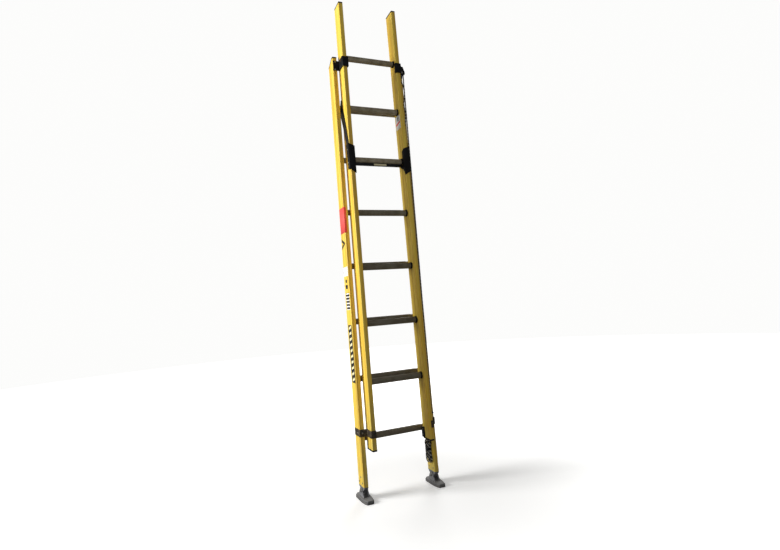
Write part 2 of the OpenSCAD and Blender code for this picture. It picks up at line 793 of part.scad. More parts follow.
fly_rung(2);  // fly_rung_2
fly_rung(3);  // fly_rung_3
fly_rung(4);  // fly_rung_4
fly_rung(5);  // fly_rung_5
fly_rung(6);  // fly_rung_6
fly_rung(7);  // fly_rung_7
fly_rung_collars();
fly_top_caps();
fly_bottom_caps();
fly_slide_shoe(-1);  // fly_slide_shoe_left
fly_slide_shoe(1);  // fly_slide_shoe_right
fly_rivets();
rope_anchor();
yoke_arm(-1);  // yoke_arm_left
yoke_arm(1);  // yoke_arm_right
yoke_sleeve(-1);  // yoke_sleeve_left
yoke_sleeve(1);  // yoke_sleeve_right
yoke_cross_bar();
yoke_label();
yoke_rivets();
haul_rope();
rope_over_pulley();
rope_tail();
rope_hank();
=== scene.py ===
"""Extension ladder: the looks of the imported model. Laid out as an add-on and run as a script."""
import json
import math

import bmesh
import bpy
from bpy.props import FloatProperty, FloatVectorProperty, IntProperty, PointerProperty
from mathutils import Matrix, Vector

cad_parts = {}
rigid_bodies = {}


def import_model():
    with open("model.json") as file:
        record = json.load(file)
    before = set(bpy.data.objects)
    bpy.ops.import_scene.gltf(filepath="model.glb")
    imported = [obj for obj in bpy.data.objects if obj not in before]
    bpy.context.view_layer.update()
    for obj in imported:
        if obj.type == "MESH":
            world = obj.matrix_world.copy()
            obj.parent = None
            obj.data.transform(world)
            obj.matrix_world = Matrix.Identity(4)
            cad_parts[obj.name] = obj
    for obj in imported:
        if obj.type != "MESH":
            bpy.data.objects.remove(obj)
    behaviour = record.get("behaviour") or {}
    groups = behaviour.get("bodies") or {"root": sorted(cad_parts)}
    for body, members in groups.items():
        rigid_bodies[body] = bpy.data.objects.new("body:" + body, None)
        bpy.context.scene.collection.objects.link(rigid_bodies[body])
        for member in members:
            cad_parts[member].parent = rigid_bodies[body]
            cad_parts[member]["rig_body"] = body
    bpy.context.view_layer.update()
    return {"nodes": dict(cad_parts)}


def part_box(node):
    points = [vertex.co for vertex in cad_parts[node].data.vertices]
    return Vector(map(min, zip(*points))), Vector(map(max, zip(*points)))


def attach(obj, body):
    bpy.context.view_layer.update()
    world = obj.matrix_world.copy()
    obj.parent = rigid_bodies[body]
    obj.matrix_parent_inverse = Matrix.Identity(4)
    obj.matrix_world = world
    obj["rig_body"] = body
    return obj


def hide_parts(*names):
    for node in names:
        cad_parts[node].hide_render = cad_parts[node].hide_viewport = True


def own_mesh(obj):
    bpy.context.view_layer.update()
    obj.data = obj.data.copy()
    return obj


bl_info = {
    "name": "Extension ladder",
    "version": (1, 0, 0),
    "blender": (4, 5, 0),
    "location": "View3D > Sidebar > Ladder",
    "description": "Finishes the packed extension ladder and sets a plain stage round it",
    "category": "Object",
}

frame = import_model()
NODES = frame["nodes"]
MM = 0.001
SIDES = ("left", "right")

ROPE_BEND_R = 12 * MM         # rope's centre line in the wheel's groove
MERGE = 1e-5                  # points closer than this are one point
FLAT = math.radians(0.5)      # faces nearer to one plane than this are one face
STAGE_R = 9.0                 # floor and backdrop
BACKDROP_FOOT = -0.5          # the backdrop's dome ends a little under the floor

# camera: lens in mm, place, and its right, up and back directions
LENS, SENSOR, SHIFT = 21.03, 36.0, (0.0449, -0.0285)
CAMERA_PLACE = (-1.0448, -2.3087, 0.9637)
CAMERA_AXES = (
    Vector((0.93496, -0.34666, -0.07536)),
    Vector((0.02701, -0.14225, 0.98946)),
    Vector((-0.35373, -0.92714, -0.12363)),
)
AIR_LIGHT = 0.175
# soft lamps: name, place, what they face, diameter and power in watts
LAMPS = (
    ("key", (-5.2, 0.7, 2.4), (0.0, 0.0, 1.3), 2.6, 425.0),
    ("fill", (-1.6, -4.2, 2.8), (0.0, 0.0, 1.2), 2.5, 32.0),
    ("back", (2.6, 3.6, 3.2), (0.0, 0.0, 1.0), 2.0, 60.0),
)

# collar: distance from the stile's face and radius, in mm
COLLAR_PROFILE = (
    (0, 16.05), (0, 19.5), (2.9, 19.5), (3.5, 18.9), (3.8, 18.3), (8.3, 18.0), (9.0, 17.3),
    (9.0, 16.05),
)
COLLAR_STEPS = 40

# loose rope below the pulley, in mm from the wheel's centre
ROPE_START = (
    (-12, 0, 0), (-11.5, -0.5, -24), (-7, -4, -50), (0, -9, -80), (5, -10, -110), (4, -10, -140),
    (-1, -8, -170), (-4, -7, -200), (-2, -7, -230), (0, -7, -260), (-3, -7, -290),
)
ROPE_HEIGHTS = (1.7, 1.5, 1.3, 1.1, 0.9, 0.7, 0.5, 0.34)
# where it leaves the gap for the hank: X and Y in mm from the gap's line, and height
ROPE_TURN_IN = ((0, 3, 0.318), (0, 11, 0.297), (-1, 20, 0.277), (-2, 29, 0.259))
TIE_SHARE = 0.6               # height of the strap on the hank


def colour(code):
    """Linear colour of an sRGB hex code."""
    parts = [int(code[i:i + 2], 16) / 255 for i in (1, 3, 5)]
    return [v / 12.92 if v <= 0.04045 else ((v + 0.055) / 1.055) ** 2.4 for v in parts]


def body_of(node):
    return NODES[node]["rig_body"]


# ---------------------------------------------------------------- properties


def colour_property(name, description, code):
    return FloatVectorProperty(
        name=name, description=description, subtype="COLOR", size=3, min=0, max=1,
        default=colour(code),
    )


def length_property(name, description, default):
    return FloatProperty(
        name=name, description=description, default=default, unit="LENGTH", subtype="DISTANCE",
        min=0.0, precision=4,
    )


class LadderFinish(bpy.types.PropertyGroup):
    """Colours of the ladder's finishes."""

    fibre: colour_property("Fibreglass", "Colour of the pultruded stiles", "#ECCB48")
    fibre_pale: colour_property("Pale strands", "Colour of the resin-rich strands", "#F3D96C")
    fibre_deep: colour_property("Deep strands", "Colour between the strands", "#D8B13C")
    rung: colour_property("Rungs", "Colour of the weathered rung alloy", "#A1977F")
    moulded: colour_property("Mouldings", "Colour of caps, guides and collars", "#0C0C0D")
    steel: colour_property("Coated steel", "Colour of straps, arms and brackets", "#101012")
    zinc: colour_property("Zinc", "Colour of rivets, bolts and axle", "#A9A8A2")
    casting: colour_property("Castings", "Colour of the foot castings", "#66676A")
    rubber: colour_property("Rubber", "Colour of the foot pads", "#4B4B4D")
    rope: colour_property("Rope", "Colour of the rope's dark strands", "#0B0B0C")
    fleck: colour_property("Rope flecks", "Colour of the rope's pale strands", "#E6E3DA")
    label_red: colour_property("Red label", "Colour of the red label", "#F25A55")
    label_white: colour_property("White label", "Colour of the white labels", "#EDEBE6")
    label_cream: colour_property("Cream label", "Colour of the label under the rung", "#D9CFA8")
    floor: colour_property("Floor", "Colour of the floor and backdrop", "#F4F4F3")


class LadderSizes(bpy.types.PropertyGroup):
    """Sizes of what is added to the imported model."""

    rope: length_property("Rope", "Diameter of the rope", 0.007)
    edge: length_property("Moulded edge", "Radius on the edges of mouldings", 0.0009)
    sheet_edge: length_property("Sheet edge", "Radius on the edges of sheet steel", 0.0006)
    head_edge: length_property("Rivet edge", "Radius on the rim of rivet heads", 0.0012)
    label: length_property("Label", "Thickness of a vinyl label", 0.0003)
    turns: IntProperty(name="Hank turns", description="Turns of rope in the hank", default=3, min=1)
    strand: length_property("Strand", "Width of a glass strand that shows", 0.0022)


# ---------------------------------------------------------------- materials


def add(tree, kind, inputs=None, stops=None, **settings):
    """Adds a node with its settings, and sets or links its inputs."""
    item = tree.nodes.new(kind)
    for name, value in settings.items():
        setattr(item, name, value)
    for key, value in (inputs or {}).items():
        if isinstance(value, bpy.types.NodeSocket):
            tree.links.new(value, item.inputs[key])
        else:
            item.inputs[key].default_value = value
    for index, (place, shade) in enumerate(stops or ()):
        ramp = item.color_ramp.elements
        stop = ramp[index] if index < 2 else ramp.new(place)
        stop.position = place
        stop.color = (*shade, 1) if len(shade) == 3 else shade
    return item


def start(name, **shader_values):
    """A new material: its tree, its shader and its object coordinates."""
    material = bpy.data.materials.new(name)
    material.use_nodes = True
    tree = material.node_tree
    shader = tree.nodes["Principled BSDF"]
    for key, value in shader_values.items():
        shader.inputs[key.replace("_", " ")].default_value = value
    place = tree.nodes.new("ShaderNodeTexCoord").outputs["Object"]
    return material, tree, shader, place


def surface(tree, shader, shade, wear_map, roughness, relief, strength, depth, span=(0.3, 0.7)):
    """Closes a material: colour, a roughness spread over the wear, and relief of real depth."""
    tree.links.new(shade, shader.inputs["Base Color"])
    rough = add(
        tree, "ShaderNodeMapRange",
        {"Value": wear_map, "From Min": span[0], "From Max": span[1],
         "To Min": roughness[0], "To Max": roughness[1]},
    )
    tree.links.new(rough.outputs[0], shader.inputs["Roughness"])
    bump = add(tree, "ShaderNodeBump", {"Height": relief, "Strength": strength, "Distance": depth})
    tree.links.new(bump.outputs[0], shader.inputs["Normal"])


def pultruded_fibreglass(finish):
    # Polyester resin drawn with glass strands: satin, with fine streaks along the stile, faint
    # broad bands of colour, dull scuffs and grime near the floor.
    material, tree, shader, place = start("pultruded_fibreglass_yellow", IOR=1.5)
    per_m = 1 / bpy.context.scene.ladder_sizes.strand
    fine_place = add(tree, "ShaderNodeMapping", {"Vector": place, "Scale": (per_m, per_m, 4)})
    broad_place = add(tree, "ShaderNodeMapping", {"Vector": place, "Scale": (70, 70, 0.9)})
    fine = add(
        tree, "ShaderNodeTexNoise", {"Vector": fine_place.outputs[0], "Scale": 1.0, "Detail": 3.0}
    )
    broad = add(
        tree, "ShaderNodeTexNoise", {"Vector": broad_place.outputs[0], "Scale": 1.0, "Detail": 2.0}
    )
    mottle = add(
        tree, "ShaderNodeTexNoise", {"Vector": place, "Scale": 9.0, "Detail": 5.0, "Roughness": 0.6}
    )
    streaks = add(
        tree, "ShaderNodeValToRGB", {"Fac": fine.outputs["Fac"]},
        stops=[(0.30, finish.fibre_deep), (0.70, finish.fibre_pale), (0.50, finish.fibre)],
    )
    bands = add(
        tree, "ShaderNodeValToRGB", {"Fac": broad.outputs["Fac"]},
        stops=[(0.36, colour("#DDC792")), (0.58, colour("#FFFFFF"))],
    )
    banded = add(
        tree, "ShaderNodeMix",
        {"Factor": 0.8, 6: streaks.outputs[0], 7: bands.outputs[0]},
        data_type="RGBA", blend_type="MULTIPLY",
    )
    # grime lies in soft patches, heaviest at the foot and thin above 750 mm
    height = add(tree, "ShaderNodeSeparateXYZ", {"Vector": place})
    low = add(
        tree, "ShaderNodeMapRange",
        {"Value": height.outputs["Z"], "From Min": 0.06, "From Max": 0.75,
         "To Min": 0.85, "To Max": 0.12},
    )
    patch = add(
        tree, "ShaderNodeValToRGB", {"Fac": mottle.outputs["Fac"]},
        stops=[(0.38, (0, 0, 0)), (0.72, (1, 1, 1))],
    )
    grime = add(
        tree, "ShaderNodeMath", {0: patch.outputs[0], 1: low.outputs[0]}, operation="MULTIPLY"
    )
    base = add(
        tree, "ShaderNodeMix",
        {"Factor": grime.outputs[0], 6: banded.outputs[2], 7: (*colour("#A89C5C"), 1)},
        data_type="RGBA",
    )
    # thin dull scratches run mostly along the stile
    scratch_place = add(tree, "ShaderNodeMapping", {"Vector": place, "Scale": (320, 320, 14)})
    scratch = add(
        tree, "ShaderNodeTexNoise",
        {"Vector": scratch_place.outputs[0], "Scale": 1.0, "Detail": 6.0},
    )
    scratched = add(
        tree, "ShaderNodeValToRGB", {"Fac": scratch.outputs["Fac"]},
        stops=[(0.66, (0, 0, 0)), (0.74, (1, 1, 1))],
    )
    worn = add(
        tree, "ShaderNodeMix",
        {"Factor": scratched.outputs[0], 6: base.outputs[2], 7: (*colour("#E8D9A0"), 1)},
        data_type="RGBA",
    )
    surface(
        tree, shader, worn.outputs[2], mottle.outputs["Fac"], (0.34, 0.52), fine.outputs["Fac"],
        0.35, 0.15 * MM,
    )
    return material


def weathered_rung_alloy(finish):
    # Extruded aluminium left outdoors: brown-grey oxide, drawn lines along the tube, and a tread
    # rubbed brighter in the middle where feet go.
    material, tree, shader, place = start("weathered_extruded_aluminium", Metallic=0.4)
    lines_place = add(tree, "ShaderNodeMapping", {"Vector": place, "Scale": (7, 700, 700)})
    lines = add(
        tree, "ShaderNodeTexNoise", {"Vector": lines_place.outputs[0], "Scale": 1.0, "Detail": 3.0}
    )
    stain = add(
        tree, "ShaderNodeTexNoise", {"Vector": place, "Scale": 22.0, "Detail": 6.0, "Roughness": 0.65}
    )
    across = add(tree, "ShaderNodeSeparateXYZ", {"Vector": place})
    centre = add(tree, "ShaderNodeMath", {0: across.outputs["X"]}, operation="ABSOLUTE")
    middle = add(
        tree, "ShaderNodeMapRange",
        {"Value": centre.outputs[0], "From Min": 0.04, "From Max": 0.14,
         "To Min": 0.75, "To Max": 0.1},
    )
    facing = add(tree, "ShaderNodeTexCoord")
    upward = add(tree, "ShaderNodeSeparateXYZ", {"Vector": facing.outputs["Normal"]})
    tread = add(
        tree, "ShaderNodeMapRange",
        {"Value": upward.outputs["Z"], "From Min": 0.2, "From Max": 0.95,
         "To Min": 0.0, "To Max": 1.0},
    )
    rubbed = add(
        tree, "ShaderNodeMath", {0: middle.outputs[0], 1: tread.outputs[0]}, operation="MULTIPLY"
    )
    tone = add(
        tree, "ShaderNodeValToRGB", {"Fac": stain.outputs["Fac"]},
        stops=[(0.30, colour("#7D7059")), (0.72, colour("#B7AF9C")), (0.52, finish.rung)],
    )
    drawn = add(
        tree, "ShaderNodeMix",
        {"Factor": 0.35, 6: tone.outputs[0], 7: lines.outputs["Color"]},
        data_type="RGBA", blend_type="OVERLAY",
    )
    bright = add(
        tree, "ShaderNodeMix",
        {"Factor": rubbed.outputs[0], 6: drawn.outputs[2], 7: (*colour("#BDB8AC"), 1)},
        data_type="RGBA",
    )
    # the rungs are darker towards the bottom: a dark brown-grey is mixed in below 1.75 m, most of it
    # below 1.35 m
    low_darkening = add(
        tree, "ShaderNodeMapRange",
        {"Value": across.outputs["Z"], "From Min": 1.35, "From Max": 1.75,
         "To Min": 0.62, "To Max": 0.0},
        interpolation_type="SMOOTHSTEP",
    )
    darkened_low = add(
        tree, "ShaderNodeMix",
        {"Factor": low_darkening.outputs[0], 6: bright.outputs[2], 7: (*colour("#4A453B"), 1)},
        data_type="RGBA",
    )
    surface(
        tree, shader, darkened_low.outputs[2], stain.outputs["Fac"], (0.42, 0.62), lines.outputs["Fac"],
        0.4, 0.1 * MM,
    )
    return material


def moulded_nylon(finish):
    # Injection-moulded glass-filled nylon: near black, satin, fine spark-eroded grain, greyed where
    # it has been rubbed.
    material, tree, shader, place = start("moulded_nylon_black", IOR=1.52, Specular_IOR_Level=0.16)
    grain = add(tree, "ShaderNodeTexVoronoi", {"Vector": place, "Scale": 900.0})
    rub = add(
        tree, "ShaderNodeTexNoise", {"Vector": place, "Scale": 45.0, "Detail": 7.0, "Roughness": 0.7}
    )
    tone = add(
        tree, "ShaderNodeValToRGB", {"Fac": rub.outputs["Fac"]},
        stops=[(0.5, finish.moulded), (0.8, colour("#222225"))],
    )
    surface(
        tree, shader, tone.outputs[0], rub.outputs["Fac"], (0.42, 0.62), grain.outputs["Distance"],
        0.3, 0.12 * MM,
    )
    return material


def powder_coated_steel(finish):
    # Black powder coat on sheet steel: slight orange peel, and small chips down to grey metal.
    material, tree, shader, place = start(
        "powder_coated_steel_black", IOR=1.5, Specular_IOR_Level=0.28
    )
    peel = add(tree, "ShaderNodeTexNoise", {"Vector": place, "Scale": 380.0, "Detail": 2.0})
    chips = add(
        tree, "ShaderNodeTexNoise", {"Vector": place, "Scale": 130.0, "Detail": 8.0, "Roughness": 0.7}
    )
    chipped = add(
        tree, "ShaderNodeValToRGB", {"Fac": chips.outputs["Fac"]},
        stops=[(0.66, (0, 0, 0)), (0.69, (1, 1, 1))],
    )
    tone = add(
        tree, "ShaderNodeMix",
        {"Factor": chipped.outputs[0], 6: (*finish.steel, 1), 7: (*colour("#6E6A63"), 1)},
        data_type="RGBA",
    )
    tree.links.new(chipped.outputs[0], shader.inputs["Metallic"])
    surface(
        tree, shader, tone.outputs[2], peel.outputs["Fac"], (0.26, 0.42), peel.outputs["Fac"],
        0.25, 0.1 * MM,
    )
    return material


def strap_steel():
    # Formed steel strap whose coating has gone brown: blotched, satin, with bare rubbed patches.
    material, tree, shader, place = start("weathered_strap_steel", Metallic=0.3)
    blotch = add(
        tree, "ShaderNodeTexNoise", {"Vector": place, "Scale": 60.0, "Detail": 8.0, "Roughness": 0.65}
    )
    tone = add(
        tree, "ShaderNodeValToRGB", {"Fac": blotch.outputs["Fac"]},
        stops=[(0.36, colour("#1E1B16")), (0.68, colour("#6B5F48")), (0.52, colour("#40372A"))],
    )
    surface(
        tree, shader, tone.outputs[0], blotch.outputs["Fac"], (0.42, 0.68), blotch.outputs["Fac"],
        0.3, 0.1 * MM,
    )
    return material


def zinc_plate(finish):
    # Zinc-plated steel gone slightly dull: cloudy grey metal with light spots.
    material, tree, shader, place = start("zinc_plated_steel_dull", Metallic=1.0)
    cloud = add(tree, "ShaderNodeTexNoise", {"Vector": place, "Scale": 240.0, "Detail": 5.0})
    tone = add(
        tree, "ShaderNodeValToRGB", {"Fac": cloud.outputs["Fac"]},
        stops=[(0.3, colour("#77756E")), (0.65, finish.zinc)],
    )
    surface(
        tree, shader, tone.outputs[0], cloud.outputs["Fac"], (0.3, 0.5), cloud.outputs["Fac"],
        0.2, 0.05 * MM,
    )
    return material


def grey_casting(finish):
    # Coated die casting: dark grey, sandy skin, dust settled on the upper faces.
    material, tree, shader, place = start("coated_casting_grey", IOR=1.5)
    sand = add(tree, "ShaderNodeTexNoise", {"Vector": place, "Scale": 620.0, "Detail": 4.0})
    dust = add(
        tree, "ShaderNodeTexNoise", {"Vector": place, "Scale": 38.0, "Detail": 6.0, "Roughness": 0.6}
    )
    facing = add(tree, "ShaderNodeTexCoord")
    upward = add(tree, "ShaderNodeSeparateXYZ", {"Vector": facing.outputs["Normal"]})
    settled = add(
        tree, "ShaderNodeMapRange",
        {"Value": upward.outputs["Z"], "From Min": 0.3, "From Max": 1.0,
         "To Min": 0.15, "To Max": 0.7},
    )
    cover = add(
        tree, "ShaderNodeMath", {0: dust.outputs["Fac"], 1: settled.outputs[0]},
        operation="MULTIPLY",
    )
    tone = add(
        tree, "ShaderNodeMix",
        {"Factor": cover.outputs[0], 6: (*finish.casting, 1), 7: (*colour("#8B867C"), 1)},
        data_type="RGBA",
    )
    surface(
        tree, shader, tone.outputs[2], dust.outputs["Fac"], (0.5, 0.8), sand.outputs["Fac"],
        0.35, 0.15 * MM,
    )
    return material


def dusty_rubber(finish):
    # Moulded rubber tread: dark grey, matt, pale dust caught in a pebbled skin.
    material, tree, shader, place = start("moulded_rubber_dusty", IOR=1.52)
    pebble = add(tree, "ShaderNodeTexVoronoi", {"Vector": place, "Scale": 700.0})
    dust = add(
        tree, "ShaderNodeTexNoise", {"Vector": place, "Scale": 55.0, "Detail": 7.0, "Roughness": 0.65}
    )
    tone = add(
        tree, "ShaderNodeValToRGB", {"Fac": dust.outputs["Fac"]},
        stops=[(0.35, finish.rubber), (0.75, colour("#6F6C66"))],
    )
    surface(
        tree, shader, tone.outputs[0], dust.outputs["Fac"], (0.7, 0.92), pebble.outputs["Distance"],
        0.45, 0.25 * MM,
    )
    return material


def braided_rope(finish):
    # Braided polyester: dark strands in a herringbone with pale marker strands. UV runs round the
    # rope in U and along it in rope diameters in V, so the braid keeps its real pitch.
    material, tree, shader, _ = start("braided_polyester_rope", IOR=1.5, Sheen_Weight=0.1)
    uv = add(tree, "ShaderNodeUVMap", uv_map="rope")
    split = add(tree, "ShaderNodeSeparateXYZ", {"Vector": uv.outputs[0]})
    strands_round = 4.0  # strands of one direction, counted round the rope
    climb = 1.6  # strands crossed along one rope diameter
    plaits = []
    for way in (1.0, -1.0):
        turned = add(
            tree, "ShaderNodeMath", {0: split.outputs["X"], 1: way * strands_round},
            operation="MULTIPLY",
        )
        climbed = add(
            tree, "ShaderNodeMath", {0: split.outputs["Y"], 1: climb, 2: turned.outputs[0]},
            operation="MULTIPLY_ADD",
        )
        plaits.append(add(tree, "ShaderNodeMath", {0: climbed.outputs[0]}, operation="FRACT"))
    humps = []
    for plait in plaits:
        wave = add(tree, "ShaderNodeMath", {0: plait.outputs[0], 1: math.pi}, operation="MULTIPLY")
        humps.append(add(tree, "ShaderNodeMath", {0: wave.outputs[0]}, operation="SINE"))
    height = add(
        tree, "ShaderNodeMath", {0: humps[0].outputs[0], 1: humps[1].outputs[0]},
        operation="MAXIMUM",
    )
    # the strands of one direction are pale where a slow spiral passes
    pale_climb = add(
        tree, "ShaderNodeMath", {0: split.outputs["Y"], 1: 0.35, 2: split.outputs["X"]},
        operation="MULTIPLY_ADD",
    )
    pale_turn = add(tree, "ShaderNodeMath", {0: pale_climb.outputs[0]}, operation="FRACT")
    pale_band = add(
        tree, "ShaderNodeMath", {0: pale_turn.outputs[0], 1: 0.3}, operation="LESS_THAN"
    )
    shown = add(
        tree, "ShaderNodeMath", {0: humps[0].outputs[0], 1: humps[1].outputs[0]},
        operation="GREATER_THAN",
    )
    pale = add(
        tree, "ShaderNodeMath", {0: pale_band.outputs[0], 1: shown.outputs[0]}, operation="MULTIPLY"
    )
    tone = add(
        tree, "ShaderNodeMix",
        {"Factor": pale.outputs[0], 6: (*finish.rope, 1), 7: (*finish.fleck, 1)},
        data_type="RGBA",
    )
    surface(
        tree, shader, tone.outputs[2], height.outputs[0], (0.85, 0.6), height.outputs[0],
        0.9, 0.6 * MM, span=(0.0, 1.0),
    )
    return material


def printed_vinyl(name, ground, ink=None, pitch=None, slant=0.0, share=0.5, band=None):
    # Printed vinyl film: flat semi-gloss colour, faint scuffs, and plain slanted bars of ink.
    material, tree, shader, place = start(name, IOR=1.48)
    scuff = add(
        tree, "ShaderNodeTexNoise", {"Vector": place, "Scale": 90.0, "Detail": 7.0, "Roughness": 0.7}
    )
    dull = add(
        tree, "ShaderNodeValToRGB", {"Fac": scuff.outputs["Fac"]},
        stops=[(0.5, (1, 1, 1)), (0.78, (0.72, 0.70, 0.64))],
    )
    shade = (*ground, 1)
    if ink:
        split = add(tree, "ShaderNodeSeparateXYZ", {"Vector": place})
        lean = add(
            tree, "ShaderNodeMath", {0: split.outputs["Y"], 1: slant, 2: split.outputs["Z"]},
            operation="MULTIPLY_ADD",
        )
        count = add(
            tree, "ShaderNodeMath", {0: lean.outputs[0], 1: 1 / pitch}, operation="MULTIPLY"
        )
        turn = add(tree, "ShaderNodeMath", {0: count.outputs[0]}, operation="FRACT")
        bar = add(tree, "ShaderNodeMath", {0: turn.outputs[0], 1: share}, operation="LESS_THAN")
        if band:
            for edge, side in zip(band, ("GREATER_THAN", "LESS_THAN")):
                inside = add(
                    tree, "ShaderNodeMath", {0: split.outputs["Y"], 1: edge}, operation=side
                )
                bar = add(
                    tree, "ShaderNodeMath", {0: bar.outputs[0], 1: inside.outputs[0]},
                    operation="MULTIPLY",
                )
        inked = add(
            tree, "ShaderNodeMix", {"Factor": bar.outputs[0], 6: shade, 7: (*ink, 1)},
            data_type="RGBA",
        )
        shade = inked.outputs[2]
    tone = add(
        tree, "ShaderNodeMix", {"Factor": 0.8, 6: shade, 7: dull.outputs[0]},
        data_type="RGBA", blend_type="MULTIPLY",
    )
    surface(
        tree, shader, tone.outputs[2], scuff.outputs["Fac"], (0.35, 0.6), scuff.outputs["Fac"],
        0.1, 0.1 * MM,
    )
    return material


def floor_paint(finish):
    # Matt painted studio floor: it shows soft shadows near the ladder, and a painted glow, its
    # emission rising with distance from the ladder, makes it fade into the lit backdrop further out;
    # a barely visible roller texture.
    material, tree, shader, place = start("matt_floor_paint", Roughness=0.9)
    shader.inputs["Base Color"].default_value = (*finish.floor, 1)
    shader.inputs["Emission Color"].default_value = (*finish.floor, 1)
    # painted glow: the floor's emission is weak near the ladder and grows strong further out
    out = add(tree, "ShaderNodeVectorMath", {0: place}, operation="LENGTH")
    glow = add(
        tree, "ShaderNodeMapRange",
        {"Value": out.outputs["Value"], "From Min": 0.3, "From Max": 2.2,
         "To Min": 0.25, "To Max": 1.3},
        interpolation_type="SMOOTHSTEP",
    )
    tree.links.new(glow.outputs[0], shader.inputs["Emission Strength"])
    roller = add(tree, "ShaderNodeTexNoise", {"Vector": place, "Scale": 160.0, "Detail": 3.0})
    bump = add(
        tree, "ShaderNodeBump",
        {"Height": roller.outputs["Fac"], "Strength": 0.05, "Distance": 0.1 * MM},
    )
    tree.links.new(bump.outputs[0], shader.inputs["Normal"])
    return material


def backdrop_light(finish):
    # Evenly lit white paper, bright enough to read as plain white.
    material = bpy.data.materials.new("lit_backdrop_paper")
    material.use_nodes = True
    tree = material.node_tree
    tree.nodes.clear()
    glow = add(tree, "ShaderNodeEmission", {"Color": (*finish.floor, 1), "Strength": 1.08})
    add(tree, "ShaderNodeOutputMaterial", {"Surface": glow.outputs[0]})
    return material


MAKERS = {
    "fibreglass": pultruded_fibreglass,
    "rung_metal": weathered_rung_alloy,
    "moulded_black": moulded_nylon,
    "black_steel": powder_coated_steel,
    "zinc_steel": zinc_plate,
    "pulley_nylon": moulded_nylon,
    "foot_metal": grey_casting,
    "pad_rubber": dusty_rubber,
    "rope_fibre": braided_rope,
}
made = {}


def material_for(slot):
    """The material of a record slot, made once."""
    if slot not in made:
        made[slot] = MAKERS[slot](bpy.context.scene.ladder_finish)
    return made[slot]


# ---------------------------------------------------------------- pieces


def wear(piece, material):
    """Gives a piece one material."""
    piece.data.materials.clear()
    piece.data.materials.append(material)


def finish_node(name, slot):
    """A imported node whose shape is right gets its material."""
    wear(NODES[name], material_for(slot))


def place_piece(name, mesh, body, slot, material=None):
    """Puts a finished mesh into the scene on a body."""
    piece = bpy.data.objects.new(name, mesh)
    bpy.context.scene.collection.objects.link(piece)
    wear(piece, material or material_for(slot))
    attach(piece, body)
    return piece


def soften(node, slot, width, segments=2, angle=34):
    """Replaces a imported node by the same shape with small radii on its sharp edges."""
    sheet = bmesh.new()
    sheet.from_mesh(NODES[node].data)
    bmesh.ops.remove_doubles(sheet, verts=sheet.verts, dist=MERGE)
    bmesh.ops.dissolve_limit(
        sheet, angle_limit=FLAT, verts=sheet.verts, edges=sheet.edges, delimit=set()
    )
    for face in sheet.faces:
        face.smooth = True
    mesh = bpy.data.meshes.new(node + "_soft")
    sheet.to_mesh(mesh)
    sheet.free()
    piece = place_piece(node + "_soft", mesh, body_of(node), slot)
    edge = piece.modifiers.new("edge", "BEVEL")
    edge.width = width
    edge.segments = segments
    edge.limit_method = "ANGLE"
    edge.angle_limit = math.radians(angle)
    edge.harden_normals = True
    edge.use_clamp_overlap = True
    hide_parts(node)
    return piece


def smooth_route(points, step):
    """Evenly spaced points on a smooth curve through the route's points."""
    ends = [points[0] * 2 - points[1], *points, points[-1] * 2 - points[-2]]
    fine = []
    for a, b, c, d in zip(ends, ends[1:], ends[2:], ends[3:]):
        count = max(2, round((c - b).length / step))
        for i in range(count):
            t = i / count
            fine.append(
                0.5 * (2 * b + (c - a) * t + (2 * a - 5 * b + 4 * c - d) * t * t
                       + (3 * b - 3 * c + d - a) * t ** 3)
            )
    return [*fine, points[-1]]


def rope_mesh(name, path, diameter, sides_quarter=3):
    """A tube of rope along a path, with a UV map that follows it."""
    curve = bpy.data.curves.new(name, "CURVE")
    curve.dimensions = "3D"
    curve.bevel_depth = diameter / 2
    curve.bevel_resolution = sides_quarter
    curve.twist_mode = "MINIMUM"
    spline = curve.splines.new("POLY")
    spline.points.add(len(path) - 1)
    for point, place in zip(spline.points, path):
        point.co = (*place, 1)
    holder = bpy.data.objects.new(name, curve)
    bpy.context.scene.collection.objects.link(holder)
    bpy.context.view_layer.update()
    mesh = bpy.data.meshes.new_from_object(
        holder.evaluated_get(bpy.context.evaluated_depsgraph_get())
    )
    bpy.data.objects.remove(holder)
    bpy.data.curves.remove(curve)
    while mesh.uv_layers:
        mesh.uv_layers.remove(mesh.uv_layers[0])
    layer = mesh.uv_layers.new(name="rope")
    sides = len(mesh.vertices) // len(path)
    if sides * len(path) != len(mesh.vertices):
        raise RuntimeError(f"{name}: the tube has an uneven number of points")
    along = [0.0]
    for a, b in zip(path, path[1:]):
        along.append(along[-1] + (b - a).length / diameter)
    for face in mesh.polygons:
        face.use_smooth = True
        turns = [mesh.loops[i].vertex_index % sides for i in face.loop_indices]
        crosses = max(turns) == sides - 1 and min(turns) == 0 and len(turns) == 4
        for index, turn in zip(face.loop_indices, turns):
            ring = mesh.loops[index].vertex_index // sides
            if crosses and turn == 0:
                turn = sides
            layer.data[index].uv = (turn / sides, along[ring])
    sheet = bmesh.new()
    sheet.from_mesh(mesh)
    bmesh.ops.holes_fill(sheet, edges=[e for e in sheet.edges if e.is_boundary], sides=sides)
    bmesh.ops.recalc_face_normals(sheet, faces=sheet.faces)
    sheet.to_mesh(mesh)
    sheet.free()
    mesh.name = name
    return mesh


# ---------------------------------------------------------------- operators


